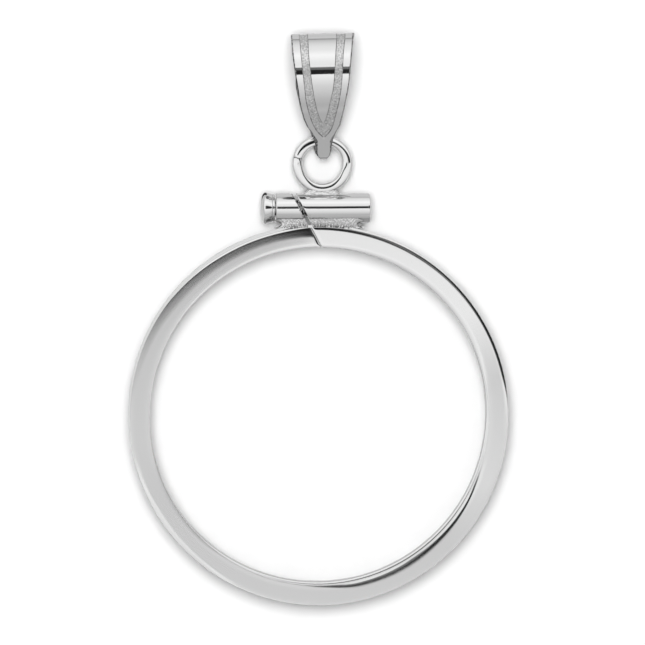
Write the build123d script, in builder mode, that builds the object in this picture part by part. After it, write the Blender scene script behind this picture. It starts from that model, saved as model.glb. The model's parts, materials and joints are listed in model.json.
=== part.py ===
"""Screw-top coin bezel pendant: a split ring with a coin channel, its closing screw and a bail."""

import math
import os

from build123d import *

# Sizes are in millimetres. The pendant lies on its back on the plane z = 0, its ring
# turns round the Z axis and its bail points along +Y.

# The coin that the ring is made for
coin_diameter = 22.0
coin_thickness = 1.80
coin_edge_play = 0.05
coin_face_play = 0.15

# Ring
ring_wall = 0.75
lip_cover = 0.46
lip_thickness = 0.45
lip_tip_round = 0.08
face_crown = 0.045
front_edge_round = 0.10
back_edge_round = 0.22
channel_corner_round = 0.15

# Tube on top of the ring, which the slit cuts in two
tube_diameter = 1.82
tube_reach_left = 2.70
tube_reach_right = 3.18
tube_ring_gap = 0.20
tube_edge_round = 0.06

# Slit through ring, solder and tube, which narrows towards the tube; the lean is from the
# Y axis towards -X
slit_width_at_tube = 0.22
slit_width_at_window = 0.34
slit_lean = 26.5
slit_place = -1.09
slit_overrun = 0.25

# Solder that joins the ring to the tube, and the tube to the jump ring
ring_solder_thickness = 1.20
ring_solder_reach_left = 2.55
ring_solder_reach_right = 2.60
ring_solder_film = 0.10
ring_solder_overhang = 0.22
ring_solder_fillet = 0.25
jump_solder_thickness = 0.80
jump_solder_width = 2.50
jump_solder_neck = 1.30
jump_solder_film = 0.05

# Jump ring
jump_ring_place = 0.20
jump_ring_mean_radius = 1.55
jump_wire_diameter = 0.62
jump_tube_gap = 0.01

# Screw
thread_diameter = 1.10
thread_depth = 0.11
thread_pitch = 0.25
thread_play = 0.03
screw_tip_inset = 0.55
screw_head_diameter = 2.00
screw_head_height = 0.81
screw_head_round = 0.52
screw_head_gap = 0.07
head_flange_height = 0.16
head_flange_step = 0.05
screw_slot_width = 0.28
screw_slot_depth = 0.32
screw_slot_turn = 24.0

# Bail: a strip folded into a loop, seen from the side. Its height runs from the jump
# ring's wire to the top. It lies leaning up from the table, and turned a little to the left
# by its play on the wire.
bail_height = 6.68
bail_width = 3.90
bail_strip = 0.42
bail_lean = 10.05
bail_turn = 1.5
bail_place = 0.25
bail_depth = 4.21
bail_belly_radius = 2.75
bail_belly_end = 4.0
bail_flank_radius = 6.60
bail_top_radius = 1.30
bail_tip_reach = 1.36
bail_eye_play = 0.14
tongue_width = 0.93
tongue_taper = 0.60

# Outline of the strip from the front: share of the bail's height above the wire, and
# share of its width there.
bail_outline = [
    {"up": 1.00, "wide": 1.000},
    {"up": 0.82, "wide": 0.932},
    {"up": 0.61, "wide": 0.847},
    {"up": 0.44, "wide": 0.762},
    {"up": 0.28, "wide": 0.650},
    {"up": 0.165, "wide": 0.535},
]
shoulder_end = 0.01

# Outline of the tongue's tip: share of its taper above the tip, and share of its width there
tongue_tip = [
    {"up": 1.00, "wide": 1.00},
    {"up": 0.68, "wide": 0.91},
    {"up": 0.37, "wide": 0.69},
    {"up": 0.14, "wide": 0.38},
]

# Two satin stripes sunk into the front of the bail, which meet in a V. Each row is a share of the
# bail's height above the wire, and a line's distance from the middle as a share of half the width.
stripe_sink = 0.04
stripe_outer_edge = [
    {"up": 1.000, "away": 0.73},
    {"up": 0.850, "away": 0.67},
    {"up": 0.710, "away": 0.63},
    {"up": 0.550, "away": 0.58},
    {"up": 0.417, "away": 0.52},
    {"up": 0.250, "away": 0.39},
    {"up": 0.163, "away": 0.30},
    {"up": 0.038, "away": 0.00},
]
stripe_inner_edge = [
    {"up": 1.000, "away": 0.465},
    {"up": 0.850, "away": 0.43},
    {"up": 0.710, "away": 0.39},
    {"up": 0.550, "away": 0.33},
    {"up": 0.417, "away": 0.245},
    {"up": 0.250, "away": 0.11},
    {"up": 0.180, "away": 0.00},
]

# What follows from these sizes
seat_radius = coin_diameter / 2 + coin_edge_play
ring_radius = seat_radius + ring_wall
window_radius = coin_diameter / 2 - lip_cover
channel_width = coin_thickness + coin_face_play
ring_depth = channel_width + 2 * lip_thickness
middle_z = ring_depth / 2

tube_radius = tube_diameter / 2
tube_y = ring_radius + tube_ring_gap + tube_radius
tube_length = tube_reach_left + tube_reach_right
tube_middle_x = (tube_reach_right - tube_reach_left) / 2
tube_top = tube_y + tube_radius
bore_radius = thread_diameter / 2 + thread_play

jump_wire_radius = jump_wire_diameter / 2
jump_y = tube_top + jump_tube_gap + jump_wire_radius + jump_ring_mean_radius
hinge_y = jump_y + jump_ring_mean_radius

tube_axis_plane = Plane(origin=(0, tube_y, middle_z), x_dir=(1, 0, 0), z_dir=(0, 0, 1))
lean = math.radians(bail_lean)
bail_front = (0, -math.sin(lean), math.cos(lean))
bail_front_plane = Plane(
    origin=(bail_place, hinge_y, middle_z),
    x_dir=(1, 0, 0),
    z_dir=bail_front,
).rotated((0, 0, bail_turn))
bail_side_plane = Plane(
    origin=bail_front_plane.origin,
    x_dir=bail_front_plane.y_dir,
    z_dir=bail_front_plane.x_dir,
)


# The ring with its channel, the tube, the jump ring and the solder between them
with BuildPart() as bezel:
    # Ring: flat back, front crowned by polishing, and a channel for the coin's edge
    with BuildSketch(Plane.XZ) as ring_section:
        shoulder_z = ring_depth - face_crown
        with BuildLine():
            Polyline(
                (window_radius, shoulder_z),
                (window_radius, 0),
                (ring_radius, 0),
                (ring_radius, shoulder_z),
            )
            ThreePointArc(
                (ring_radius, shoulder_z),
                ((ring_radius + window_radius) / 2, ring_depth),
                (window_radius, shoulder_z),
            )
        make_face()
        outer_corners = ring_section.vertices().group_by(Axis.X)[-1].sort_by(Axis.Y)
        fillet(outer_corners[0], back_edge_round)
        fillet(outer_corners[-1], front_edge_round)
        with Locations((seat_radius, middle_z)):
            Rectangle(
                ring_wall + seat_radius - window_radius,
                channel_width,
                align=(Align.MAX, Align.CENTER),
                mode=Mode.SUBTRACT,
            )
        fillet(ring_section.vertices().group_by(Axis.X)[0], lip_tip_round)
        at_seat = channel_corner_round / 10
        seat_corners = [v for v in ring_section.vertices() if abs(v.X - seat_radius) < at_seat]
        fillet(seat_corners, channel_corner_round)
    revolve(axis=Axis.Z)

    # Tube
    with Locations(Location((tube_middle_x, tube_y, middle_z), (0, 90, 0))):
        Cylinder(tube_radius, tube_length)
    fillet(bezel.edges(Select.LAST).filter_by(GeomType.CIRCLE), tube_edge_round)

    # Jump ring
    with Locations((jump_ring_place, jump_y, middle_z)):
        Torus(jump_ring_mean_radius, jump_wire_radius)

    # Solder between the ring and the tube
    solder_length = ring_solder_reach_left + ring_solder_reach_right
    solder_middle_x = (ring_solder_reach_right - ring_solder_reach_left) / 2
    with BuildSketch(Plane.XY.offset(middle_z)) as ring_solder_plan:
        Circle(ring_radius + ring_solder_film)
        with Locations((solder_middle_x, ring_radius)):
            Rectangle(solder_length + 2 * ring_solder_overhang, 2 * tube_diameter, mode=Mode.INTERSECT)
        with Locations((solder_middle_x, tube_y)):
            Rectangle(solder_length, tube_diameter, align=(Align.CENTER, Align.MAX))
        inner_corners = [
            v
            for v in ring_solder_plan.vertices()
            if ring_radius - ring_wall < v.Y < tube_y - tube_radius / 4
            and abs(v.X - solder_middle_x) < solder_length / 2 + ring_solder_overhang / 2
        ]
        fillet(inner_corners, ring_solder_fillet)
        Circle(seat_radius + ring_wall / 2, mode=Mode.SUBTRACT)
    extrude(amount=ring_solder_thickness / 2, both=True)

    # Solder between the tube and the jump ring
    with BuildSketch(Plane.XY.offset(middle_z)) as jump_solder_plan:
        solder_foot = tube_top + jump_solder_film
        solder_top = jump_y - jump_ring_mean_radius
        half_foot = jump_solder_width / 2
        half_neck = jump_solder_neck / 2
        with Locations((jump_ring_place, 0)):
            with BuildLine():
                Polyline(
                    (-half_foot, solder_foot),
                    (-half_foot, tube_y),
                    (half_foot, tube_y),
                    (half_foot, solder_foot),
                )
                RadiusArc((half_foot, solder_foot), (half_neck, solder_top), half_foot)
                Line((half_neck, solder_top), (-half_neck, solder_top))
                RadiusArc((-half_neck, solder_top), (-half_foot, solder_foot), half_foot)
            make_face()
    extrude(amount=jump_solder_thickness / 2, both=True)

    # Bore for the screw
    with Locations(Location((tube_middle_x, tube_y, middle_z), (0, 90, 0))):
        Cylinder(bore_radius, tube_length, mode=Mode.SUBTRACT)

    # Slit
    with BuildSketch(Plane.XY) as slit_plan:
        slit_slope = math.tan(math.radians(slit_lean))
        slit_narrowing = (slit_width_at_window - slit_width_at_tube) / (tube_y - window_radius)
        slit_ends = []
        for slit_y in (window_radius - slit_overrun, tube_top + slit_overrun):
            slit_width = slit_width_at_tube + (tube_y - slit_y) * slit_narrowing
            slit_middle_x = slit_place - (slit_y - tube_y) * slit_slope
            half_across = slit_width / 2 / math.cos(math.radians(slit_lean))
            slit_ends.append(((slit_middle_x - half_across, slit_y), (slit_middle_x + half_across, slit_y)))
        (low_left, low_right), (high_left, high_right) = slit_ends
        with BuildLine():
            Polyline(low_left, low_right, high_right, high_left, close=True)
        make_face()
    extrude(amount=ring_depth, mode=Mode.SUBTRACT)
bezel.part.label = "bezel"


# The screw, turned round the tube's axis
screw_seat_x = -tube_reach_left - screw_head_gap
screw_tip_x = tube_reach_right - screw_tip_inset
head_end_x = screw_seat_x - screw_head_height
head_radius = screw_head_diameter / 2
crest_radius = thread_diameter / 2
root_radius = crest_radius - thread_depth

thread_line = []
thread_turns = int((screw_tip_x - screw_seat_x) / thread_pitch) - 1
for turn in range(thread_turns):
    turn_x = screw_tip_x - (turn + 1) * thread_pitch
    thread_line.append((turn_x, crest_radius))
    thread_line.append((turn_x - thread_pitch / 2, root_radius))

with BuildPart() as screw:
    with BuildSketch(tube_axis_plane) as screw_section:
        with BuildLine():
            flange_x = screw_seat_x - head_flange_height
            body_radius = head_radius - head_flange_step
            Polyline(
                (screw_seat_x, root_radius),
                (screw_seat_x, head_radius),
                (flange_x, head_radius),
                (flange_x, body_radius),
                (head_end_x + screw_head_round, body_radius),
            )
            RadiusArc(
                (head_end_x + screw_head_round, body_radius),
                (head_end_x, body_radius - screw_head_round),
                -screw_head_round,
            )
            Polyline((head_end_x, body_radius - screw_head_round), (head_end_x, 0), (screw_tip_x, 0))
            Line((screw_tip_x, 0), (screw_tip_x, root_radius))
            Polyline((screw_tip_x, root_radius), *thread_line, (screw_seat_x, root_radius))
        make_face()
    revolve(axis=Axis((0, tube_y, middle_z), (1, 0, 0)))
    # Driver slot across the head's end
    with Locations(Location((head_end_x, tube_y, middle_z), (screw_slot_turn, 0, 0))):
        Box(2 * screw_slot_depth, 2 * screw_head_diameter, screw_slot_width, mode=Mode.SUBTRACT)
screw.part.label = "screw"


# The bail: the side view of the loop, cut to the strip's outline
belly_offset = bail_belly_radius - bail_depth / 2
belly_reach = bail_belly_radius - bail_top_radius
top_angle = math.asin(belly_offset / belly_reach)
top_up = bail_height - bail_top_radius
belly_up = top_up - belly_reach * math.cos(top_angle)

# The flank carries on from the belly with a wider curve
belly_end = math.radians(90 + bail_belly_end)
wider = bail_flank_radius - bail_belly_radius
flank_up = belly_up - wider * math.cos(belly_end)
flank_offset = belly_offset + wider * math.sin(belly_end)


def teardrop(thickness_in, end_up, end_radius):
    """Draw the loop's side outline, moved in by a thickness, closed round an end circle."""
    top_radius = bail_top_radius - thickness_in
    belly_radius = bail_belly_radius - thickness_in
    flank_radius = bail_flank_radius - thickness_in
    rise = flank_up - end_up
    spread = math.hypot(rise, flank_offset)
    flank = math.asin((flank_radius - end_radius) / spread) - math.atan2(flank_offset, rise)
    side = math.pi / 2 + flank
    top_degrees = math.degrees(top_angle)
    end_degrees = math.degrees(belly_end)
    side_degrees = math.degrees(side)
    CenterArc((top_up, 0), top_radius, -top_degrees, 2 * top_degrees)
    for face in (1, -1):
        CenterArc(
            (belly_up, -face * belly_offset),
            belly_radius,
            face * top_degrees,
            face * (end_degrees - top_degrees),
        )
        curve = CenterArc(
            (flank_up, -face * flank_offset),
            flank_radius,
            face * end_degrees,
            face * (side_degrees - end_degrees),
        )
        Line(curve @ 1, (end_up + end_radius * math.cos(side), face * end_radius * math.sin(side)))
    CenterArc((end_up, 0), end_radius, side_degrees, 360 - 2 * side_degrees)


tip_radius = bail_strip
tip_up = -(bail_tip_reach - tip_radius)
eye_radius = jump_wire_radius + bail_eye_play
half_tongue = tongue_width / 2
outline_side = [(row["wide"] * bail_width / 2, row["up"] * bail_height) for row in bail_outline]
shoulder_low = (half_tongue, shoulder_end * bail_height)
tip_side = [(row["wide"] * half_tongue, row["up"] * tongue_taper - bail_tip_reach) for row in tongue_tip]


def stripe_plan(edge):
    """Draw the V inside the stripes' outer or inner edges."""
    side = [(row["away"] * bail_width / 2, row["up"] * bail_height) for row in edge]
    right_edge = Spline(*side)
    mirror(right_edge, about=Plane.YZ)
    Line((-side[0][0], side[0][1]), side[0])


with BuildPart() as stripes:
    with BuildSketch(bail_side_plane):
        with BuildLine():
            teardrop(-stripe_sink, tip_up, tip_radius + stripe_sink)
        make_face()
        with BuildLine():
            teardrop(stripe_sink, tip_up, tip_radius - stripe_sink)
        make_face(mode=Mode.SUBTRACT)
    extrude(amount=bail_width, both=True)
    with BuildSketch(bail_front_plane):
        with BuildLine():
            stripe_plan(stripe_outer_edge)
        make_face()
        with BuildLine():
            stripe_plan(stripe_inner_edge)
        make_face(mode=Mode.SUBTRACT)
    extrude(amount=bail_depth, mode=Mode.INTERSECT)

with BuildPart() as bail:
    with BuildSketch(bail_side_plane):
        with BuildLine():
            teardrop(0, tip_up, tip_radius)
        make_face()
        with BuildLine():
            teardrop(bail_strip, 0, eye_radius)
        make_face(mode=Mode.SUBTRACT)
    extrude(amount=bail_width, both=True)
    with BuildSketch(bail_front_plane):
        with BuildLine():
            upper_side = Spline(outline_side)
            shoulder = Line(upper_side @ 1, shoulder_low)
            tongue_side = Line(shoulder_low, tip_side[0])
            tip = Spline(*tip_side, (0, -bail_tip_reach), tangents=[(0, -1), (-1, 0)])
            for edge in (upper_side, shoulder, tongue_side, tip):
                mirror(edge, about=Plane.YZ)
            Line((-outline_side[0][0], bail_height), (outline_side[0][0], bail_height))
        make_face()
    extrude(amount=bail_depth, both=True, mode=Mode.INTERSECT)
    add(stripes.part, mode=Mode.SUBTRACT)
bail.part.label = "bail"


os.makedirs("parts", exist_ok=True)
export_step(bezel.part, "parts/bezel.step")
export_step(screw.part, "parts/screw.step")
export_step(bail.part, "parts/bail.step")
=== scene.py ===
"""White gold coin bezel pendant with a screw top, lying on its back on a white surface."""

import json
import math

import bmesh
import bpy
import numpy as np
from mathutils import Matrix, Vector, noise


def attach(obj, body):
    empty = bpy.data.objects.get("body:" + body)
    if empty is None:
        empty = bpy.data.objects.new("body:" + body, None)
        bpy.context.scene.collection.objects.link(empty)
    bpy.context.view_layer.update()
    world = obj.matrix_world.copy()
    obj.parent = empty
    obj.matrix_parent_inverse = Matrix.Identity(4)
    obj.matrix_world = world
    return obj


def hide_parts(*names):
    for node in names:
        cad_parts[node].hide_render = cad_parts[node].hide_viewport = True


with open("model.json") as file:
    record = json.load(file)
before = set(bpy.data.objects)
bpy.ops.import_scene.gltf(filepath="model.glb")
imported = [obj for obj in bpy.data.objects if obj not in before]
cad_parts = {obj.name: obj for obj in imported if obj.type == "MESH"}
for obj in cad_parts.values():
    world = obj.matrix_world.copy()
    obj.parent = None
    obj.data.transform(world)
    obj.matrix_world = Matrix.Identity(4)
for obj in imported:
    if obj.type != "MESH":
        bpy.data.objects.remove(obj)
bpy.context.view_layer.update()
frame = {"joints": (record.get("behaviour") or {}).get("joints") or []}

# Sizes are in millimetres, and each piece is turned to metres as it is made
metres = 0.001

# Ring
ring_radius = 11.80
seat_radius = 11.05
window_radius = 10.54
ring_depth = 2.85
lip_thickness = 0.45
front_edge_round = 0.012
back_edge_round = 0.22
channel_round = 0.15
lip_tip_round = 0.08
back_lip_round = 0.20
middle_z = ring_depth / 2

# The face is rolled over at both edges by hand, so the roll changes round the ring. Each row is
# a place on a clock face in degrees, the roll's width, and how far it tips over at the edge.
outer_roll = [
    (0, 0.16, 9.0), (15, 0.20, 9.0), (30, 0.21, 8.5), (45, 0.20, 8.5), (60, 0.21, 8.5), (76, 0.20, 10),
    (88, 0.06, 6), (110, 0.04, 3), (205, 0.04, 3), (222, 0.29, 12), (240, 0.32, 12), (251, 0.10, 5),
    (268, 0.08, 2), (288, 0.42, 1.8), (300, 0.56, 2.2), (315, 0.70, 2.7), (330, 0.70, 3.2),
    (345, 0.66, 3.8), (354, 0.64, 4.6), (360, 0.64, 5.0),
]
inner_roll = [
    (0, 0.18, 19), (15, 0.24, 22), (30, 0.30, 25), (60, 0.32, 28), (85, 0.08, 12), (98, 0.06, 4),
    (110, 0.20, 10), (120, 0.30, 15), (135, 0.42, 15), (150, 0.50, 16), (165, 0.44, 16), (177, 0.18, 9),
    (188, 0.06, 3), (208, 0.06, 3), (225, 0.26, 2.8), (245, 0.36, 2.4), (262, 0.05, 3), (285, 0.06, 8),
    (330, 0.13, 17), (345, 0.18, 19), (360, 0.18, 19),
]
# On the left of the slit the outer edge itself is worn round
outer_edge_wear = [
    (0, 0.01, 3), (300, 0.01, 3), (318, 0.05, 30), (332, 0.11, 42), (345, 0.10, 42), (356, 0.03, 20),
    (360, 0.01, 3),
]
# Share of a roll's width over which it bends, for the outer one by the place on the clock face.
# Beyond that it runs on straight.
outer_roll_bend = [(0, 1.0), (90, 1.0), (210, 0.45), (360, 0.45)]
inner_roll_bend = 1.0
# The roll lowers the face alone: its drop fades out down the ring's sides
roll_foot = 0.35
roll_fade = 0.20
# How far up and down from its middle the channel keeps the lathe's finish
turned_reach = 1.0
# Roughness that the buff leaves
buffed = 0.05

# Roughness that the lap's haze adds on the face and on its two rolls, by the place on a clock
# face. The rows at 179.9 and 180 degrees are the two ends of a colour ramp. A roll's haze takes
# over by the place across, from the inner edge (0) to the outer (1).
haze_on_face = [
    (0, 0.025), (55, 0.025), (66, 0.07), (78, 0.13), (112, 0.11), (135, 0.19), (179.9, 0.20),
    (180, 0.20), (240, 0.20), (262, 0.16), (285, 0.16), (345, 0.15), (354, 0.11),
]
haze_on_inner_roll = [
    (0, 0.02), (60, 0.02), (80, 0.11), (104, 0.10), (116, 0.03), (165, 0.05), (179.9, 0.16),
    (180, 0.16), (240, 0.17), (262, 0.14), (285, 0.13), (345, 0.10), (354, 0.06),
]
haze_on_outer_roll = [
    (0, 0.0), (15, 0.04), (48, 0.04), (60, 0.01), (80, 0.01), (95, 0.11), (135, 0.18), (179.9, 0.18),
    (180, 0.18), (205, 0.15), (216, 0.02), (246, 0.02), (258, 0.14), (290, 0.12), (345, 0.08),
    (354, 0.02),
]
inner_roll_reach = [(0.18, 1.0), (0.32, 0.0)]
outer_roll_reach = [(0.78, 0.0), (0.90, 1.0)]

# Tube and slit
tube_radius = 0.91
tube_y = 12.91
tube_left = -2.70
tube_right = 3.18
tube_edge_round = 0.06
bore_radius = 0.58
# The tube was polished by hand, so it is a little uneven, in patches longer along it than across
tube_unevenness = 0.03
uneven_along = 5.0
uneven_across = 1.4
slit_width_at_tube = 0.22
slit_width_at_window = 0.34
slit_lean = math.radians(26.5)
slit_place = -1.09
# The tube's left half has a broad lip at the slit and its right half a crisp one. The ring's two
# ends are rounded down into the slit, which is nearly closed at its bottom.
slit_lip_left = 0.09
slit_lip_right = 0.025
ring_end_closing = 0.15
ring_end_round = 0.15
ring_end_fall = 0.06

# Solder between ring and tube. Its foot is sunk in the ring and its top in the tube. Each pair is
# half its thickness at its outer end, and what it gains by the end of its run. A grain is given
# by its height and its width.
ring_solder_left = -2.78
ring_solder_right = 2.82
ring_solder_run = 0.60
ring_solder_middle = 11.9
ring_solder_lowest = 11.68
sunk_in_ring = 0.10
sunk_in_tube = 0.03
ring_solder_foot = (0.36, 0.22)
ring_solder_top = (0.40, 0.26)
ring_solder_sag = 0.03
ring_solder_neck = 0.45
ring_solder_grain = (0.032, 0.09)

# Jump ring
jump_x = 0.20
jump_y = 15.69
jump_mean_radius = 1.55
jump_wire_radius = 0.31
jump_seam_place = -78.0
jump_seam_width = 0.09
jump_seam_depth = 0.035
# Share by which its upper half is pressed out of round
jump_squash = 0.05
# The wire was pressed while it was closed and soldered. Each row is a place on a clock face in
# degrees, how far the crest lies out (+) or in (-) as a share of the wire's radius, and how
# flat the crest is (2 is round).
jump_crest = [
    (-76, 0.0, 2.0), (-71, 0.10, 2.8), (-50, -0.20, 3.2), (-20, -0.52, 3.2), (0, -0.40, 2.6),
    (26, -0.22, 2.2), (43, -0.10, 2.2), (70, 0.10, 2.4), (86, 0.14, 2.6), (112, -0.44, 3.4),
    (135, -0.22, 3.2), (158, 0.06, 2.8), (180, 0.12, 2.8), (198, 0.08, 2.8), (217, -0.22, 3.0),
    (238, -0.50, 3.2), (258, -0.62, 3.0), (273, -0.48, 2.4), (284, 0.0, 2.0),
]

# Solder at the jump ring's foot: half its width at the foot and at the neck, half its depth at
# the foot and how much less it is at the neck, and how far it wets the tube
jump_solder_half_foot = 1.27
jump_solder_half_neck = 0.70
jump_solder_half_depth = 0.46
jump_solder_depth_taper = 0.20
jump_solder_wetting = 0.05
jump_solder_tucked = 0.02
jump_solder_aside = 0.10
jump_solder_foot_up = 0.54
jump_solder_in_wire = 0.04
jump_solder_grain = (0.04, 0.10)

# Screw
screw_seat_x = -2.77
screw_tip_x = 2.63
head_radius = 1.00
head_height = 0.81
head_round = 0.52
head_round_along = 0.22
head_flange = 0.16
head_taper = 0.13
head_groove = 0.03
slot_width = 0.28
slot_depth = 0.32
slot_turn = math.radians(24.0)
crest_radius = 0.55
root_radius = 0.44
thread_pitch = 0.25
# Share of the pitch's slope that is cut flat at crest and root, the lengths over which the thread
# runs out, the least share of its height there, and the shank's rounded tip
thread_flat = 0.12
thread_start = 0.30
thread_end = 0.20
thread_least = 0.30
tip_radius = 0.30

# Bail
bail_joint = next(j for j in frame["joints"] if j["name"] == "bail_swing")
# How it rests: leaning up off the sheet, turned a little, and off the wire's middle
bail_lean = math.radians(10.05)
bail_turn = math.radians(1.5)
bail_place = 0.25
bail_height = 6.68
bail_width = 3.90
bail_strip = 0.42
bail_depth = 4.21
belly_radius = 2.75
belly_end = math.radians(94)
flank_radius = 6.60
top_radius = 1.30
tip_reach = 1.36
eye_radius = 0.45
tongue_width = 0.93
tongue_taper = 0.60
bail_edge_round = 0.08
bail_polished_off = 0.01
# Its outline: the share of its half width, by the share of its height, and for the tongue's tip
# the share of the tongue's half width, by the share of the taper's length
bail_outline = [(1.00, 1.000), (0.82, 0.932), (0.61, 0.847), (0.44, 0.762), (0.28, 0.650), (0.165, 0.535)]
tongue_tip = [(0.0, 0.0), (0.04, 0.17), (0.14, 0.38), (0.37, 0.69), (0.68, 0.91), (1.0, 1.0)]
shoulder_end = 0.01
# The satin stripes' two borders, by the same shares
stripe_outer = [
    (1.00, 0.73), (0.85, 0.67), (0.71, 0.63), (0.55, 0.58), (0.417, 0.52), (0.25, 0.39), (0.163, 0.30),
    (0.095, 0.18), (0.038, 0.0),
]
stripe_inner = [
    (1.00, 0.465), (0.85, 0.43), (0.71, 0.39), (0.55, 0.33), (0.417, 0.245), (0.25, 0.11), (0.18, 0.0),
]
stripe_sink = 0.04
stripe_step = 0.045
stripe_rim = 0.015
stripe_fade = 0.05
# The strip isn't quite straight: how far its middle lies to the side, by the share of its height
bail_bow = [
    (1.00, 0.02), (0.85, -0.055), (0.71, -0.065), (0.55, -0.06), (0.42, -0.085), (0.25, -0.07),
    (0.16, -0.03), (0.05, 0.0), (-0.3, 0.0),
]
# Its back leaf lies to the left of the front one at the tongue and to the right above it, by the
# height in millimetres. It is all the way aside from a short way behind the bail's middle.
back_leaf_aside = [(0.0, -0.10), (0.4, -0.10), (1.8, 0.0), (2.6, 0.0), (4.0, 0.09), (6.7, 0.09)]
back_leaf_start = 0.30

# Finishes of the bail's strip, by their place in its list of materials. The filing finish on its edges
# carries painted shade.
polished_face, satin_face, filed_face_painted_shade, scribed_face = range(4)


def lin(colour):
    """Turn an sRGB hex colour such as "#E6E4E0" to linear red, green, blue and alpha."""
    channels = [int(colour[i:i + 2], 16) / 255 for i in (1, 3, 5)]
    return [c / 12.92 if c <= 0.04045 else ((c + 0.055) / 1.055) ** 2.4 for c in channels] + [1.0]


def add(tree, kind, sockets=None, **properties):
    """Add one node with its settings. A socket given another node's output is linked to it."""
    node = tree.nodes.new(kind)
    for name, value in properties.items():
        setattr(node, name, value)
    for name, value in (sockets or {}).items():
        if isinstance(value, bpy.types.NodeSocket):
            tree.links.new(value, node.inputs[name])
        else:
            node.inputs[name].default_value = value
    return node


def fill_ramp(ramp, rows):
    """Set a colour ramp's stops from rows of place and value."""
    while len(ramp.elements) > 1:
        ramp.elements.remove(ramp.elements[-1])
    for index, (place, value) in enumerate(sorted(rows)):
        stop = ramp.elements[0] if index == 0 else ramp.elements.new(place)
        stop.position = place
        stop.color = (value, value, value, 1)


def spread(tree, value, low, high, to_low=0.0, to_high=1.0):
    """Map a value from one range to another, and hold it at both ends."""
    sockets = {"Value": value, "From Min": low, "From Max": high, "To Min": to_low, "To Max": to_high}
    return add(tree, "ShaderNodeMapRange", sockets).outputs["Result"]


def arithmetic(tree, operation, *values):
    """Add one step of arithmetic, whose values are numbers or other nodes' outputs."""
    return add(tree, "ShaderNodeMath", dict(enumerate(values)), operation=operation).outputs["Value"]


def mottle(tree, place, patch_mm, detail):
    """Soft noise over a piece, in patches of about the given size."""
    sockets = {"Vector": place, "Scale": 1 / patch_mm, "Detail": detail}
    return add(tree, "ShaderNodeTexNoise", sockets).outputs["Fac"]


def bump(tree, shader, height, strength, depth_mm):
    """Raise a skin by a height from nought to one."""
    sockets = {"Height": height, "Strength": strength, "Distance": depth_mm * metres}
    raised = add(tree, "ShaderNodeBump", sockets)
    tree.links.new(raised.outputs["Normal"], shader.inputs["Normal"])


def two_tones(tree, shader, share, low, high):
    """Colour a surface between two tones, each given as a place on the share and an sRGB hex."""
    tone = add(tree, "ShaderNodeValToRGB", {"Fac": share})
    for stop, (place, colour) in zip(tone.color_ramp.elements, (low, high)):
        stop.position = place
        stop.color = lin(colour)
    tree.links.new(tone.outputs["Color"], shader.inputs["Base Color"])


def new_material(name):
    """A material with its nodes and its one shader."""
    material = bpy.data.materials.new(name)
    material.use_nodes = True
    tree = material.node_tree
    return material, tree, tree.nodes["Principled BSDF"]


def bare_metal(name, colour, roughness):
    """Start a metal: its shader, and the place on the piece in millimetres."""
    material, tree, shader = new_material(name)
    shader.inputs["Base Color"].default_value = lin(colour)
    shader.inputs["Metallic"].default_value = 1.0
    shader.inputs["Roughness"].default_value = roughness
    spot = add(tree, "ShaderNodeTexCoord").outputs["Object"]
    place = add(tree, "ShaderNodeMapping", {"Vector": spot, "Scale": (1 / metres,) * 3}).outputs["Vector"]
    return material, tree, shader, place


def polished_white_gold():
    """14 carat white gold, rhodium plated and mirror polished.

    It shows as a clear, neutral mirror, with a faint haze where the buff dwelt.
    """
    material, tree, shader, place = bare_metal("rhodium_plated_white_gold_polished", "#C1C1C1", buffed)
    buffing_haze_mm = 1.6
    haze = mottle(tree, place, buffing_haze_mm, 4.0)
    tree.links.new(spread(tree, haze, 0.35, 0.70, 0.035, 0.085), shader.inputs["Roughness"])
    # Buffing leaves the skin very slightly uneven, a few tenths of a micron over half a millimetre
    uneven_mm = 0.5
    bump(tree, shader, mottle(tree, place, uneven_mm, 2.0), 0.5, 0.0025)
    return material


def lapped_white_gold():
    """The ring's gold, its face rubbed flat on a fine lap and then buffed.

    It shows as a mirror at the rolled edges and a soft haze on the flat. The haze is stronger on
    the left half, where the lap's marks were buffed out less.
    """
    material, tree, shader, place = bare_metal("rhodium_plated_white_gold_lapped", "#C1C1C1", buffed)
    axes = add(tree, "ShaderNodeSeparateXYZ", {"Vector": place}).outputs
    flat = add(tree, "ShaderNodeCombineXYZ", {"X": axes["X"], "Y": axes["Y"]}).outputs["Vector"]
    radius = add(tree, "ShaderNodeVectorMath", {0: flat}, operation="LENGTH").outputs["Value"]
    across = spread(tree, radius, window_radius, ring_radius)
    clock = spread(tree, arithmetic(tree, "ARCTAN2", axes["X"], axes["Y"]), -math.pi, math.pi)

    def haze_round(rows):
        """Haze by the place on a clock face, which the ramp starts and ends at the bottom."""
        haze = add(tree, "ShaderNodeValToRGB", {"Fac": clock})
        fill_ramp(haze.color_ramp, [(((turned + 180) % 360) / 360, added) for turned, added in rows])
        return haze.outputs["Color"]

    haze = haze_round(haze_on_face)
    for rows, reach in ((haze_on_inner_roll, inner_roll_reach), (haze_on_outer_roll, outer_roll_reach)):
        share = add(tree, "ShaderNodeValToRGB", {"Fac": across})
        fill_ramp(share.color_ramp, reach)
        sockets = {0: share.outputs["Color"], 2: haze, 3: haze_round(rows)}
        haze = add(tree, "ShaderNodeMix", sockets, data_type="FLOAT").outputs[0]
    tree.links.new(arithmetic(tree, "ADD", haze, buffed), shader.inputs["Roughness"])
    return material


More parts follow.
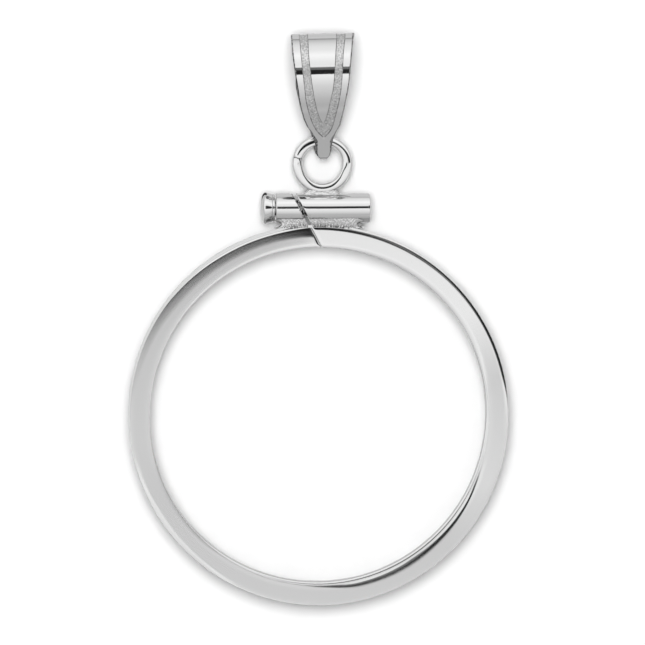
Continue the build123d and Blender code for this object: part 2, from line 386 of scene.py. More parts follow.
def satin_white_gold():
    """The same gold, blasted with fine grit inside a mask to make the satin stripes.

    It shows as a grey frost with a fine glitter. The grit is 0.05 mm, drawn at 0.10 mm to show.
    """
    material, tree, shader, place = bare_metal("rhodium_plated_white_gold_grit_blasted", "#A3A3A3", 0.42)
    grit_mm = 0.10
    grit = mottle(tree, place, grit_mm, 3.0)
    two_tones(tree, shader, grit, (0.34, "#939393"), (0.66, "#C8C8C8"))
    bump(tree, shader, grit, 1.0, 0.012)
    return material


def soldered_white_gold():
    """White gold solder, left as it flowed and plated over.

    It shows as bright grains, because the solder sets with a pebbled skin of about 0.12 mm.
    """
    name = "rhodium_plated_white_gold_solder_as_flowed"
    material, tree, shader, place = bare_metal(name, "#BEBEBE", 0.22)
    pebble_mm = 0.12
    bump(tree, shader, mottle(tree, place, pebble_mm, 3.0), 1.0, 0.022)
    return material


def filed_white_gold_painted_edge_shade():
    """The edges of the bail's strip, left from a fine file and then plated.

    It shows as a thin dark grey line with darker notches, each about 0.1 mm long. Its grey is painted
    shade, which stands in for the dark reflections along the strip's edges. Over its lower half the
    left edge is painted darker still, a painted shadow where the back leaf's edge lies in shade.
    """
    material, tree, shader, place = bare_metal("rhodium_plated_white_gold_filed_painted_edge_shade", "#A3A3A3", 0.30)
    axes = add(tree, "ShaderNodeSeparateXYZ", {"Vector": place}).outputs
    # Painted shadow: the left edge is painted darker over its lower half
    left = spread(tree, axes["X"], 0.1, -0.5)
    low = spread(tree, axes["Y"], 22.2, 20.8, 0.2, 1.0)
    left_low_painted_shadow = arithmetic(tree, "MULTIPLY", left, low)
    nick_mm = 0.10
    painted_shadow_deepening = -0.17
    notches_and_painted_shade = arithmetic(tree, "MULTIPLY_ADD", left_low_painted_shadow, painted_shadow_deepening, mottle(tree, place, nick_mm, 1.0))
    # Painted shade in the edges' grey tones, with the file's notches from the noise
    two_tones(tree, shader, notches_and_painted_shade, (0.36, "#353535"), (0.52, "#989898"))
    return material


def scribed_white_gold():
    """The scribed border of the satin stripes, where the mask ended.

    It shows as a fine dark line that comes and goes.
    """
    material, tree, shader, place = bare_metal("rhodium_plated_white_gold_scribed", "#7A7A7A", 0.36)
    skip_mm = 0.25
    two_tones(tree, shader, mottle(tree, place, skip_mm, 3.0), (0.38, "#5A5A5A"), (0.62, "#9A9A9A"))
    return material


def turned_white_gold():
    """White gold as the lathe left it in the channel, the bore and the thread, then plated.

    It shows as a softer, streaked shine than the polished outside.
    """
    material, tree, shader, place = bare_metal("rhodium_plated_white_gold_turned", "#BABABA", 0.16)
    feed_mm = 0.05
    streak = mottle(tree, place, feed_mm, 2.0)
    tree.links.new(spread(tree, streak, 0.3, 0.7, 0.12, 0.26), shader.inputs["Roughness"])
    return material


polished = polished_white_gold()
lapped = lapped_white_gold()
satin = satin_white_gold()
filed_gold_painted_shade = filed_white_gold_painted_edge_shade()
scribed = scribed_white_gold()
soldered = soldered_white_gold()
turned = turned_white_gold()


def put_in_scene(name, data):
    """Make an object of a mesh, a camera or a lamp, and put it in the scene."""
    thing = bpy.data.objects.new(name, data)
    bpy.context.scene.collection.objects.link(thing)
    return thing


def skin(name, sections, finishes, finish_of=None, closed=False, body="bezel", sharp=35.0):
    """Skin a row of sections, each a closed loop of points in millimetres, into one piece."""
    sections = np.asarray(sections, float)
    count, size, _ = sections.shape
    corner = np.arange(count * size).reshape(count, size)
    if closed:
        corner = np.vstack([corner, corner[:1]])
    beside = np.roll(corner, -1, axis=1)
    quads = np.stack([corner[:-1], beside[:-1], beside[1:], corner[1:]], axis=-1)
    faces = quads.reshape(-1, 4).tolist()
    if not closed:
        faces += [corner[0][::-1].tolist(), corner[-1].tolist()]
    mesh = bpy.data.meshes.new(name)
    mesh.from_pydata((sections.reshape(-1, 3) * metres).tolist(), [], faces)
    for finish in finishes:
        mesh.materials.append(finish)
    if finish_of is not None:
        chosen = np.broadcast_to(finish_of, quads.shape[:2]).reshape(-1)
        chosen = np.concatenate([chosen, np.zeros(len(faces) - len(chosen), int)])
        mesh.polygons.foreach_set("material_index", chosen.astype(np.int32))
    shell = bmesh.new()
    shell.from_mesh(mesh)
    bmesh.ops.remove_doubles(shell, verts=shell.verts, dist=0.0002 * metres)
    bmesh.ops.dissolve_degenerate(shell, edges=shell.edges, dist=0.0001 * metres)
    bmesh.ops.recalc_face_normals(shell, faces=shell.faces)
    shell.to_mesh(mesh)
    shell.free()
    mesh.shade_smooth()
    mesh.set_sharp_from_angle(angle=math.radians(sharp))
    piece = put_in_scene(name, mesh)
    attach(piece, body)
    return piece


def rounded(corners, turn=15.0):
    """Points of a closed outline whose corners are given as (x, y, round)."""
    # A point close beside each rounding keeps the straight stretches flat in smooth shading
    beside = 0.008
    points = []
    for index, (x, y, size) in enumerate(corners):
        here = np.array((x, y))
        back = np.array(corners[index - 1][:2]) - here
        onward = np.array(corners[(index + 1) % len(corners)][:2]) - here
        back /= np.linalg.norm(back)
        onward /= np.linalg.norm(onward)
        half = math.acos(back @ onward) / 2
        middle = here + (back + onward) / np.linalg.norm(back + onward) * size / math.sin(half)
        start = here + back * size / math.tan(half) - middle
        end = here + onward * size / math.tan(half) - middle
        sweep = math.pi - 2 * half
        steps = max(2, round(math.degrees(sweep) / turn))
        points.append(middle + start + back * beside)
        for share in np.linspace(0, 1, steps + 1):
            arm = math.sin((1 - share) * sweep) * start + math.sin(share * sweep) * end
            points.append(middle + arm / math.sin(sweep))
        points.append(middle + end + onward * beside)
    return np.array(points)


def spaced(points, gap):
    """Add points along the long straight stretches of a closed outline."""
    filled = []
    for here, there in zip(points, np.roll(points, -1, axis=0)):
        steps = max(1, math.ceil(np.linalg.norm(there - here) / gap))
        filled += [here + (there - here) * k / steps for k in range(steps)]
    return np.array(filled)


def inset(points, amount):
    """Move a closed counterclockwise outline in by an amount."""
    ahead = np.roll(points, -1, axis=0) - np.roll(points, 1, axis=0)
    ahead /= np.linalg.norm(ahead, axis=1)[:, None]
    return points + amount * np.stack([-ahead[:, 1], ahead[:, 0]], axis=1)


def edge_steps(size, steps=4):
    """Rows of a rounded edge: how far each is from the face, and how far in from the side."""
    turns = np.linspace(0, math.pi / 2, steps + 1)
    return [(size * (1 - math.cos(a)), size * (1 - math.sin(a))) for a in turns]


def along(table, place):
    """Read a table of (place, value) rows at a place, on a smooth curve that stays between them."""
    places, values = np.array(sorted(table)).T
    rises = np.diff(values) / np.diff(places)
    before, after = rises[:-1], rises[1:]
    turning = before * after <= 0
    slopes = np.where(turning, 0.0, 2 * before * after / np.where(turning, 1.0, before + after))
    slopes = np.concatenate([rises[:1], slopes, rises[-1:]])
    place = min(max(place, places[0]), places[-1])
    row = min(np.searchsorted(places, place, side="right") - 1, len(places) - 2)
    span = places[row + 1] - places[row]
    share = (place - places[row]) / span
    rise = values[row + 1] - values[row]
    leaving = slopes[row] * span - rise
    arriving = slopes[row + 1] * span - rise
    bend = share * (1 - share) * ((1 - share) * leaving - share * arriving)
    return values[row] + rise * share + bend


def slit_face(side):
    """The slit's left (-1) or right (1) face: its directions across and along, and its offset.

    The offset is how far the face lies from the ring's axis.
    """
    widening = (slit_width_at_window - slit_width_at_tube) / 2 / math.cos(slit_lean)
    widening /= tube_y - window_radius
    lean = math.atan(math.tan(slit_lean) + side * widening)
    across = np.array((math.cos(lean), math.sin(lean)))
    up_slit = np.array((-math.sin(lean), math.cos(lean)))
    at_tube = (slit_place + side * slit_width_at_tube / 2 / math.cos(slit_lean), tube_y)
    return across, up_slit, across @ np.array(at_tube)


def slit_angle(radius, side, away):
    """Angle round the ring's axis of a point at some distance from the slit's left or right face."""
    across, up_slit, offset = slit_face(side)
    sideways = offset + side * away
    upward = np.sqrt(radius**2 - sideways**2)
    x, y = (across[k] * sideways + up_slit[k] * upward for k in (0, 1))
    return np.arctan2(y, x)


def slit_x(y, side, away):
    """Where a line along X at a height y meets the slit's face, less some distance away from it."""
    across, _, offset = slit_face(side)
    return (offset - across[1] * y) / across[0] + side * away


def roll_drop(rows, bend_share, clock, into_edge):
    """How far a rolled edge lies under the flat, for distances in from where the roll starts."""
    width = along([(place, wide) for place, wide, _ in rows], clock)
    tip = math.tan(math.radians(along([(place, tipped) for place, _, tipped in rows], clock)))
    into = np.maximum(0.0, into_edge + width)
    bend = bend_share * width
    return tip * np.where(into < bend, into**2 / (2 * bend), into - bend / 2)


def make_ring():
    """The ring: flat back, rolled face, and the channel for the coin's edge between two lips."""
    outline = rounded([
        (ring_radius, 0, back_edge_round),
        (ring_radius, ring_depth, front_edge_round),
        (window_radius, ring_depth, lip_tip_round / 2),
        (window_radius, ring_depth - lip_thickness, lip_tip_round),
        (seat_radius, ring_depth - lip_thickness, channel_round),
        (seat_radius, lip_thickness, channel_round),
        (window_radius, lip_thickness, back_lip_round),
        (window_radius, 0, lip_tip_round),
    ])
    outline = spaced(outline, 0.05)
    # Each row is how far a section lies from the slit's face, how far it is moved in, and the
    # share of the way round from the slit's right side to its left
    end_rows = []
    for away, inward in edge_steps(1.0, 9):
        end_rows.append((ring_end_round * away - ring_end_closing, ring_end_fall * inward))
    rows = [(away, inward, 0.0) for away, inward in end_rows]
    turns = 540
    rows += [(end_rows[-1][0], 0.0, k / turns) for k in range(1, turns)]
    rows += [(away, inward, 1.0) for away, inward in reversed(end_rows)]
    sections = []
    for away, inward, share in rows:
        radius, z = inset(outline, inward).T
        right = slit_angle(radius, 1, away)
        left = slit_angle(radius, -1, away)
        angle = right - share * (2 * math.pi - (left - right))
        clock = (90 - math.degrees(angle.mean())) % 360
        # The ring starts a little before the top of the clock face
        if share < 0.5 and clock > 180:
            clock -= 360
        outer_bend = along(outer_roll_bend, clock)
        drop = roll_drop(outer_roll, outer_bend, clock, radius - ring_radius)
        drop += roll_drop(outer_edge_wear, outer_bend, clock, radius - ring_radius)
        drop += roll_drop(inner_roll, inner_roll_bend, clock, window_radius - radius)
        on_face = np.clip((z - ring_depth + roll_foot) / roll_fade, 0.0, 1.0)
        x, y = radius * np.cos(angle), radius * np.sin(angle)
        sections.append(np.stack([x, y, z - drop * on_face], axis=1))
    radius, z = outline.T
    in_channel = (radius > window_radius + lip_tip_round) & (radius < (seat_radius + ring_radius) / 2)
    in_channel &= np.abs(z - middle_z) < turned_reach
    return skin("ring", sections, [lapped, turned], in_channel.astype(int))


def make_tube(name, end_x, side, lip):
    """One half of the tube, from its square outer end to the slit's slanting face."""
    # Each row is a radius, the share of the way to the slit, and how far it stays from that end
    rows = [(tube_radius - inward, 0.0, away) for away, inward in edge_steps(tube_edge_round)]
    rows += [(tube_radius, share, 0.0) for share in np.linspace(0.04, 0.96, 40)]
    rows += [(tube_radius - inward, 1.0, away) for away, inward in reversed(edge_steps(lip))]
    rows += [(bore_radius + inward, 1.0, away) for away, inward in edge_steps(slit_lip_right)]
    rows += [(bore_radius, share, 0.0) for share in np.linspace(0.9, 0.1, 8)]
    rows += [(bore_radius + inward, 0.0, away) for away, inward in reversed(edge_steps(tube_edge_round))]
    wall_middle = bore_radius + 0.1
    bore_edge = bore_radius + 0.02
    sections = []
    for radius, share, away in rows:
        section = []
        for angle in np.linspace(0, 2 * math.pi, 96, endpoint=False):
            y = tube_y + radius * math.cos(angle)
            z = middle_z + radius * math.sin(angle)
            start = end_x - side * away
            x = start + share * (slit_x(y, side, away) - start)
            spot = Vector((x / uneven_along, y / uneven_across, z / uneven_across))
            worn = tube_unevenness * noise.noise(spot) if radius > wall_middle else 0.0
            section.append((x, y + worn * math.cos(angle), z + worn * math.sin(angle)))
        sections.append(section)
    in_bore = np.array([[int(radius < bore_edge)] for radius, _, _ in rows])
    return skin(name, sections, [polished, turned], in_bore, closed=True)


def signed_power(value, power):
    """A value to a power with its sign kept, which squares off a circle's section."""
    return math.copysign(abs(value) ** power, value)


def make_jump_ring():
    """The jump ring: wire closed on itself, pressed a little, with the seam where its ends meet."""
    clock_places = list(np.arange(-76, 284, 2.0))
    seam_step = math.degrees(jump_seam_width / 6 / jump_mean_radius)
    clock_places += [jump_seam_place + k * seam_step for k in range(-4, 5)]
    crest_places = [(place, lies) for place, lies, _ in jump_crest]
    crest_flats = [(place, flat) for place, _, flat in jump_crest]
    sections = []
    for clock in sorted(clock_places):
        from_seam = abs(clock - jump_seam_place) / seam_step / 3
        wire = jump_wire_radius - jump_seam_depth * max(0.0, 1 - from_seam**2)
        row_place = clock if clock >= jump_crest[0][0] else clock + 360
        crest = along(crest_places, row_place)
        power = 2 / along(crest_flats, row_place)
        turn = math.radians(90 - clock)
        squash = 1 - jump_squash * max(0.0, math.sin(turn))
        section = []
        for angle in np.linspace(0, 2 * math.pi, 72, endpoint=False):
            across = signed_power(math.cos(angle), power)
            across = crest + across * (1 - crest * math.copysign(1, across))
            height = signed_power(math.sin(angle), power)
            reach = jump_mean_radius + wire * across
            x, y = reach * math.cos(turn), reach * math.sin(turn) * squash
            section.append((jump_x + x, jump_y + y, middle_z + wire * height))
        sections.append(section)
    return skin("jump_ring", sections, [polished], closed=True)


def grained(spot, out, grain):
    """Move a point of solder out along a direction by the height of its grains."""
    height, width = grain
    rise = noise.fractal(Vector(spot) / width, 1.0, 2.0, 3)
    return np.array(spot) + np.array(out) * height * rise


def make_ring_solder(name, end_x, side):
    """Solder under one half of the tube: a slim grained fillet that thins out at its outer end."""
    sections = []
    for share in np.linspace(0, 1, 130):
        middle_x = end_x + share * (slit_x(ring_solder_middle, side, 0.0) - end_x)
        from_end = abs(middle_x - end_x) / ring_solder_run
        full = math.sqrt(max(0.0, 1 - max(0.0, 1 - from_end) ** 2))
        low_z, high_z = (thin + gain * full for thin, gain in (ring_solder_foot, ring_solder_top))
        low_y = max(math.sqrt(ring_radius**2 - middle_x**2) - sunk_in_ring, ring_solder_lowest)
        high_y = tube_y - math.sqrt(tube_radius**2 - high_z**2) + sunk_in_tube
        section = []
        for face in (1, -1):
            for rise in np.linspace(0, 1, 12)[::face]:
                hollow = math.sin(math.pi * rise)
                sag = ring_solder_sag * full * hollow
                necked = ring_solder_neck * hollow * (1 - share) ** 4
                y = low_y + (high_y - low_y) * rise
                x = end_x + share * (slit_x(y, side, 0.0) - end_x) - side * necked
                z = middle_z + face * (low_z + (high_z - low_z) * rise**1.5 - sag)
                section.append(grained((x, y, z), (0, -0.3, face), ring_solder_grain))
        sections.append(section)
    return skin(name, sections, [soldered], sharp=70.0)


def make_jump_solder():
    """Solder at the jump ring's foot: a grained pad that spreads on the tube and necks to the wire."""
    foot_y = tube_y + jump_solder_foot_up
    top_y = jump_y - jump_mean_radius - jump_solder_in_wire
    squared_sides = 0.45
    squared_faces = 0.35
    spreading = jump_solder_half_foot - jump_solder_half_neck
    sections = []
    for share in np.linspace(0, 1, 44):
        y = foot_y + (top_y - foot_y) * share
        on_tube = math.sqrt(max(0.0, tube_radius**2 - (y - tube_y) ** 2))
        wetted = jump_solder_wetting * min(1.0, 5 * share) * (1 - share)
        wetted -= jump_solder_tucked * max(0.0, 1 - 12 * share)
        thick = max(on_tube + wetted, jump_solder_half_depth - jump_solder_depth_taper * share)
        half = jump_solder_half_neck + spreading * (1 - share**2.2)
        middle_x = jump_x - jump_solder_aside * (1 - share)
        section = []
        for angle in np.linspace(0, 2 * math.pi, 120, endpoint=False):
            x = middle_x + half * signed_power(math.cos(angle), squared_sides)
            z = middle_z + thick * signed_power(math.sin(angle), squared_faces)
            out = (math.cos(angle), 0.5, math.sin(angle))
            section.append(grained((x, y, z), out, jump_solder_grain))
        sections.append(section)
    return skin("jump_solder", sections, [soldered], sharp=70.0)


def disc(x, radius, around):
    """A circle of points round the tube's axis."""
    angles = np.linspace(0, 2 * math.pi, around, endpoint=False)
    return [(x, tube_y + radius * math.cos(a), middle_z + radius * math.sin(a)) for a in angles]


def slot_cutter(end_x):
    """A bar across the screw's head, as wide as its slot and reaching in by the slot's depth."""
    mesh = bpy.data.meshes.new("slot_cutter")
    bar = bmesh.new()
    bmesh.ops.create_cube(bar, size=1.0)
    for vertex in bar.verts:
        x, y, z = vertex.co
        y, z = y * 4 * head_radius, z * slot_width
        turned_y = y * math.cos(slot_turn) - z * math.sin(slot_turn)
        turned_z = y * math.sin(slot_turn) + z * math.cos(slot_turn)
        vertex.co = Vector((end_x + x * 2 * slot_depth, tube_y + turned_y, middle_z + turned_z)) * metres
    bar.to_mesh(mesh)
    bar.free()
    return put_in_scene("slot_cutter", mesh)


def make_screw():
    """The closing screw: a round-edged head with a driver slot, and a threaded shank."""
    end_x = screw_seat_x - head_height
    profile = [(end_x, radius) for radius in (0.02, 0.2, 0.4, head_radius - head_round)]
    for turn in np.radians(np.linspace(10, 90, 9)):
        rounding = head_round_along * (1 - math.cos(turn))
        profile.append((end_x + rounding, head_radius - head_round * (1 - math.sin(turn))))
    # The head tapers to its flange, and a fine groove runs round the flange
    flange_x = screw_seat_x - head_flange
    flange = head_radius - head_taper
    profile += [
        (flange_x - 0.02, flange + 0.02),
        (flange_x, flange),
        (flange_x + 0.01, flange - head_groove),
        (flange_x + 0.03, flange - head_groove),
        (flange_x + 0.04, flange),
        (screw_seat_x - 0.03, flange - 0.02),
        (screw_seat_x, flange - 0.05),
        (screw_seat_x, crest_radius),
    ]
    steps_per_turn = 10
    around = 48
    sections = [disc(x, radius, around) for x, radius in profile]
    for x in np.arange(screw_seat_x + 0.01, screw_tip_x, thread_pitch / steps_per_turn):
        section = []
        fade = min(1.0, (screw_tip_x - x) / thread_end, (x - screw_seat_x) / thread_start)
        for angle in np.linspace(0, 2 * math.pi, around, endpoint=False):
            phase = ((x - screw_seat_x) / thread_pitch + angle / (2 * math.pi)) % 1.0
            ridge = 1 - abs(2 * phase - 1)
            ridge = min(1.0, max(0.0, (ridge - thread_flat) / (1 - 2 * thread_flat)))
            radius = root_radius + (crest_radius - root_radius) * ridge * max(thread_least, fade)
            section.append((x, tube_y + radius * math.cos(angle), middle_z + radius * math.sin(angle)))
        sections.append(section)
    on_shank = np.array([[int(section[0][0] > screw_seat_x)] for section in sections])
    sections.append(disc(screw_tip_x, tip_radius, around))
    screw = skin("screw_with_slot", sections, [polished, turned], on_shank, body="screw")

    cutter = slot_cutter(end_x)
    slot_cut = screw.modifiers.new("slot", "BOOLEAN")
    slot_cut.operation = "DIFFERENCE"
    slot_cut.solver = "EXACT"
    slot_cut.object = cutter
    soften = screw.modifiers.new("soften", "BEVEL")
    soften.width = 0.02 * metres
    soften.segments = 2
    soften.limit_method = "ANGLE"
    soften.angle_limit = math.radians(60)
    depsgraph = bpy.context.evaluated_depsgraph_get()
    cut_mesh = bpy.data.meshes.new_from_object(screw.evaluated_get(depsgraph))
    screw.modifiers.clear()
    screw.data = cut_mesh
    bpy.data.objects.remove(cutter)
    return screw


def half_width(up):
    """Half the bail's width at a height above the jump ring's wire."""
    low_place, low_share = bail_outline[-1]
    shoulder = shoulder_end * bail_height
    tongue = tongue_width / 2
    if up >= low_place * bail_height:
        return along(bail_outline, up / bail_height) * bail_width / 2
    if up >= shoulder:
        share = (up - shoulder) / (low_place * bail_height - shoulder)
        return tongue + share * (low_share * bail_width / 2 - tongue)
    return tongue * along(tongue_tip, (up + tip_reach) / tongue_taper)


def bail_side(thickness_in, end_up, end_radius):
    """Front half of the bail's side outline from its tip to its top, moved in by a thickness."""
    belly_offset = belly_radius - bail_depth / 2
    top_angle = math.asin(belly_offset / (belly_radius - top_radius))
    top_up = bail_height - top_radius
    belly_up = top_up - (belly_radius - top_radius) * math.cos(top_angle)
    wider = flank_radius - belly_radius
    flank_up = belly_up - wider * math.cos(belly_end)
    flank_offset = belly_offset + wider * math.sin(belly_end)
    flank = flank_radius - thickness_in
    spread_out = math.hypot(flank_up - end_up, flank_offset)
    side = math.pi / 2 + math.asin((flank - end_radius) / spread_out)
    side -= math.atan2(flank_offset, flank_up - end_up)
    # Each arc is its middle up and to the front, its radius, where it starts and ends, and steps
    arcs = [
        (end_up, 0, end_radius, math.pi, side, 25),
        (flank_up, -flank_offset, flank, side, belly_end, 50),
        (belly_up, -belly_offset, belly_radius - thickness_in, belly_end, top_angle, 60),
        (top_up, 0, top_radius - thickness_in, top_angle, 0, 24),
    ]
    curves = []
    for middle_up, middle_front, radius, start, end, steps in arcs:
        turns = np.linspace(start, end, steps + 1)
        ups, fronts = middle_up + radius * np.cos(turns), middle_front + radius * np.sin(turns)
        curves.append(np.stack([ups, fronts], axis=1))
    tip, flank_curve, belly, top = curves
    straight = tip[-1] + (flank_curve[0] - tip[-1]) * np.linspace(0, 1, 26)[1:-1, None]
    return np.vstack([tip, straight, flank_curve, belly[1:], top[1:]])


def strip_loop(up, on_front, wide_out, wide_in, thick):
    """Once round the strip: rows of distance across, share of the thickness, and finish."""
    share = min(max(up / bail_height, 0.0), 1.0)
    outer_line = along(stripe_outer, share) * bail_width / 2
    inner_line = along(stripe_inner, share) * bail_width / 2
    cut = min(1.0, max(0.0, on_front / stripe_fade)) if up > 0 and outer_line > 0.01 else 0.0
    sunk = stripe_sink * cut / thick
    flat = max(wide_out - bail_edge_round, 0.0)
    step = stripe_step / 2
    marks = []
    for line in (inner_line, outer_line):
        marks += [line - step - stripe_rim, line - step, line + step, line + step + stripe_rim]
    # Each mark stays past the one before it and inside the strip's edge
    apart = 0.004
    for k, mark in enumerate(marks):
        least = marks[k - 1] + apart if k else apart
        marks[k] = min(max(mark, least), flat * (0.84 + 0.02 * k))
    stripe, border = (satin_face, scribed_face) if cut > 0.5 else (polished_face, polished_face)
    open_middle = inner_line > 0.01
    middle, middle_border = (polished_face, border) if open_middle else (stripe, stripe)
    middle_depth = 0.0 if open_middle else sunk
    depths = [middle_depth, middle_depth, sunk, sunk, sunk, sunk, 0.0, 0.0]
    finishes = [middle, middle_border, stripe, stripe, stripe, border, polished_face, polished_face]
    right = [(mark, 1 - depth, finish) for mark, depth, finish in zip(marks, depths, finishes)]
    # The strip's flat edge and its rounded edges take the filing finish with painted edge shade
    right += [(max(flat - stripe_rim, 0.0), 1.0, polished_face), (flat, 1.0, filed_face_painted_shade)]
    edge = edge_steps(bail_edge_round, 3)
    for away, inward in edge[-2::-1]:
        right.append((max(wide_out - away, 0.0), 1 - inward / thick, filed_face_painted_shade))
    for away, inward in edge[:-1]:
        right.append((max(wide_in - away, 0.0), inward / thick, filed_face_painted_shade))
    flat_in = max(wide_in - bail_edge_round, 0.0)
    right += [(flat_in * k, 0.0, polished_face) for k in (1.0, 0.97, 0.6, 0.2)]
    finishes = [middle] + [finish for _, _, finish in right]
    left = [(-x, depth, finish) for (x, depth, _), finish in zip(right[::-1], finishes[-2::-1])]
    return right + left


def make_bail():
    """The bail: one tapered strip folded over and closed round the jump ring's wire."""
    outer = bail_side(bail_polished_off, -(tip_reach - bail_strip), bail_strip - bail_polished_off)
    inner = bail_side(bail_strip, 0, eye_radius)
    mirror = np.array((1, -1))
    outer = np.vstack([outer, outer[-2:0:-1] * mirror])
    inner = np.vstack([inner, inner[-2:0:-1] * mirror])
    hinge = np.array(bail_joint["pos_m"]) / metres
    hinge[0] = bail_place
    front_axis = np.array((0, -math.sin(bail_lean), math.cos(bail_lean)))
    leaning = np.array((0, math.cos(bail_lean), math.sin(bail_lean)))
    across_axis = np.array((math.cos(bail_turn), 0, 0)) + leaning * math.sin(bail_turn)
    up_axis = leaning * math.cos(bail_turn) - np.array((math.sin(bail_turn), 0, 0))
    sections = []
    finishes = []
    for out, back in zip(outer, inner):
        thick = np.linalg.norm(out - back)
        loop = strip_loop(out[0], out[1], half_width(out[0]), half_width(back[0]), thick)
        aside = along(bail_bow, out[0] / bail_height)
        behind = min(1.0, max(0.0, -out[1] / back_leaf_start))
        aside += along(back_leaf_aside, out[0]) * behind
        section = []
        for across, depth, _ in loop:
            up, front = back + (out - back) * depth
            section.append(hinge + across_axis * (across + aside) + up_axis * up + front_axis * front)
        sections.append(section)
        finishes.append([finish for _, _, finish in loop])
    metals = [polished, satin, filed_gold_painted_shade, scribed]
    return skin("bail_strip", sections, metals, finishes, closed=True, body="bail")


ring = make_ring()
left_tube = make_tube("tube_left", tube_left, -1, slit_lip_left)
right_tube = make_tube("tube_right", tube_right, 1, slit_lip_right)
jump_ring = make_jump_ring()
left_solder = make_ring_solder("ring_solder_left", ring_solder_left, -1)
right_solder = make_ring_solder("ring_solder_right", ring_solder_right, 1)
jump_solder = make_jump_solder()
screw = make_screw()
bail = make_bail()
soldered_pieces = (ring, left_tube, right_tube, jump_ring, left_solder, right_solder, jump_solder)
for piece in soldered_pieces:
    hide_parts("bezel")
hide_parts("screw")
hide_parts("bail")
# The polish throws no light back on the sheet, so the shadow stays deep where the pendant lies on it
for piece in (*soldered_pieces, screw, bail):
    piece.visible_diffuse = False


def make_floor():
    """A plain white sheet that the pendant lies on."""
    material, tree, shader = new_material("white_card")
    shader.inputs["Roughness"].default_value = 0.9
    fibre = add(tree, "ShaderNodeTexNoise", {"Scale": 900.0, "Detail": 2.0}).outputs["Fac"]
    two_tones(tree, shader, fibre, (0.0, "#E2E2E2"), (1.0, "#E8E8E8"))
    mesh = bpy.data.meshes.new("floor")
    half = 0.6
    corners = [(-half, -half, 0), (half, -half, 0), (half, half, 0), (-half, half, 0)]
    mesh.from_pydata(corners, [], [(0, 1, 2, 3)])
    mesh.materials.append(material)
    floor = put_in_scene("floor", mesh)
    # The metal mirrors the lower half of the tent instead of the sheet
    floor.visible_glossy = False


# Camera: it looks down from a little to the left of and above the pendant
photo_side_px = 645
px_per_mm = 16.08
view_left = math.radians(3.0)
view_up = math.radians(4.0)
view_centre = Vector((0.18, 5.86, ring_depth)) * metres
camera_distance = 0.6
sensor_mm = 36.0
to_camera = Vector((-math.tan(view_left), math.tan(view_up), 1)).normalized()
camera_up = to_camera.cross(Vector((1, 0, 0))).normalized()
camera_right = camera_up.cross(to_camera).normalized()


def make_camera():
    """A long lens, so that the view is almost without perspective."""
    data = bpy.data.cameras.new("camera")
    data.sensor_width = sensor_mm
    view_width = photo_side_px / px_per_mm * metres
    data.lens = sensor_mm * camera_distance / view_width
    data.clip_start = 0.01
    camera = put_in_scene("camera", data)
    turned_to_view = Matrix((camera_right, camera_up, to_camera)).transposed().to_4x4()
    camera.matrix_world = Matrix.Translation(view_centre + to_camera * camera_distance) @ turned_to_view
    bpy.context.scene.camera = camera


# The white tent round the pendant. Its brightness is given as the grey that the polished metal
# shows, by the angle in degrees from the camera's direction up the picture (+) or down it (-).
tent_greys = [
    (-180, 183), (-130, 206), (-104, 212), (-90, 192), (-79, 172), (-70, 169), (-65, 180), (-58, 172),
    (-51, 182), (-43, 198), (-32, 215), (-26, 221), (-20, 227), (-14, 233), (-9, 237), (0, 243),
    (19, 230), (28, 234), (38, 244), (45, 248), (52, 240), (60, 231), (71, 225), (78, 220), (85, 210),
    (90, 199), (94, 188), (96, 104), (98, 186), (102, 206), (118, 198), (180, 183),
]
# It is a little darker towards its foot: its share of that light, by how high a direction points
tent_foot = [(0.0, 0.94), (0.3, 1.0), (1.0, 1.0)]
# The opening that the camera looks through with the hood above it, and a dark flag to the right.
# Each has the angles where it fades in and out across the picture and up it, and its grey.
camera_hood = ((-10, -8, 9, 12), (4.6, 5.2, 11.4, 13.0), 104)
camera_opening = ((-10, -8, 9, 12), (-7.05, -5.85, 4.8, 6.0), 32)
dark_flag = ((9, 12, 60, 70), (-8.6, -7.0, 14, 18), 40)
# Share of the tent's light that the metal sends on
mirror_share = 0.54
# The lamps: name, power in watts, size across and up, and place, in metres
lamps = [
    ("key_lamp", 2.635, 0.20, 0.24, (-0.036, 0.072, 0.47)),
    ("fill_lamp", 2.00, 1.40, 1.40, (0.0, 0.0, 0.42)),
]


def seen_grey(grey):
    """Light that shows as an sRGB grey once the metal has mirrored it."""
    return lin("#%02X%02X%02X" % (grey, grey, grey))[0] / mirror_share


def angle_window(tree, angle, edges):
    """One inside a range of angles and nought outside, fading between the edges in degrees."""
    low, high = edges[0] - 1, edges[-1] + 1
    share = spread(tree, angle, math.radians(low), math.radians(high))
    inside = add(tree, "ShaderNodeValToRGB", {"Fac": share})
    rows = [((edge - low) / (high - low), value) for edge, value in zip(edges, (0, 1, 1, 0))]
    fill_ramp(inside.color_ramp, rows)
    return inside.outputs["Color"]


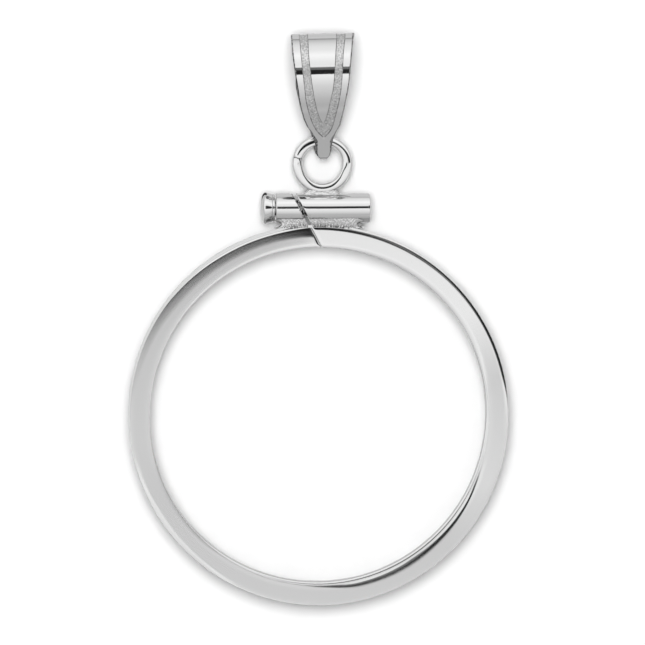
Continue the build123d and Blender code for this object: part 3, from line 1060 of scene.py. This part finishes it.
def make_tent():
    """White tent: its brightness by direction, with the dark opening that the camera looks through."""
    world = bpy.data.worlds.new("white_tent")
    world.use_nodes = True
    bpy.context.scene.world = world
    tree = world.node_tree
    way = add(tree, "ShaderNodeTexCoord").outputs["Generated"]
    parts = {}
    for name, axis in (("ahead", to_camera), ("up", camera_up), ("side", camera_right)):
        part = add(tree, "ShaderNodeVectorMath", {0: way, 1: axis}, operation="DOT_PRODUCT")
        parts[name] = part.outputs["Value"]
    up_angle = arithmetic(tree, "ARCTAN2", parts["up"], parts["ahead"])
    side_angle = arithmetic(tree, "ARCTAN2", parts["side"], parts["ahead"])
    wall = add(tree, "ShaderNodeValToRGB", {"Fac": spread(tree, up_angle, -math.pi, math.pi)})
    fill_ramp(wall.color_ramp, [((angle + 180) / 360, seen_grey(grey)) for angle, grey in tent_greys])
    height = add(tree, "ShaderNodeSeparateXYZ", {"Vector": way}).outputs["Z"]
    foot = add(tree, "ShaderNodeValToRGB", {"Fac": height})
    fill_ramp(foot.color_ramp, tent_foot)
    sockets = {0: 1.0, 6: wall.outputs["Color"], 7: foot.outputs["Color"]}
    light = add(tree, "ShaderNodeMix", sockets, data_type="RGBA", blend_type="MULTIPLY").outputs[2]
    for across, upward, grey in (camera_hood, camera_opening, dark_flag):
        windows = (angle_window(tree, side_angle, across), angle_window(tree, up_angle, upward))
        mask = arithmetic(tree, "MULTIPLY", *windows)
        sockets = {0: mask, 6: light, 7: [seen_grey(grey)] * 3 + [1]}
        light = add(tree, "ShaderNodeMix", sockets, data_type="RGBA").outputs[2]
    tree.links.new(light, tree.nodes["Background"].inputs["Color"])
    # The tent is only what the metal mirrors. The two lamps light the sheet instead of it.
    world.cycles_visibility.diffuse = False


def make_lamp(name, power, across, upward, place):
    """A soft oval lamp that lights the sheet, and doesn't show in the polish."""
    data = bpy.data.lights.new(name, "AREA")
    data.shape = "ELLIPSE"
    data.energy = power
    data.size = across
    data.size_y = upward
    data.cycles.use_multiple_importance_sampling = False
    lamp = put_in_scene(name, data)
    lamp.location = place
    lamp.visible_glossy = False


make_floor()
make_camera()
make_tent()
for lamp_row in lamps:
    make_lamp(*lamp_row)
bpy.context.scene.view_settings.view_transform = "Standard"
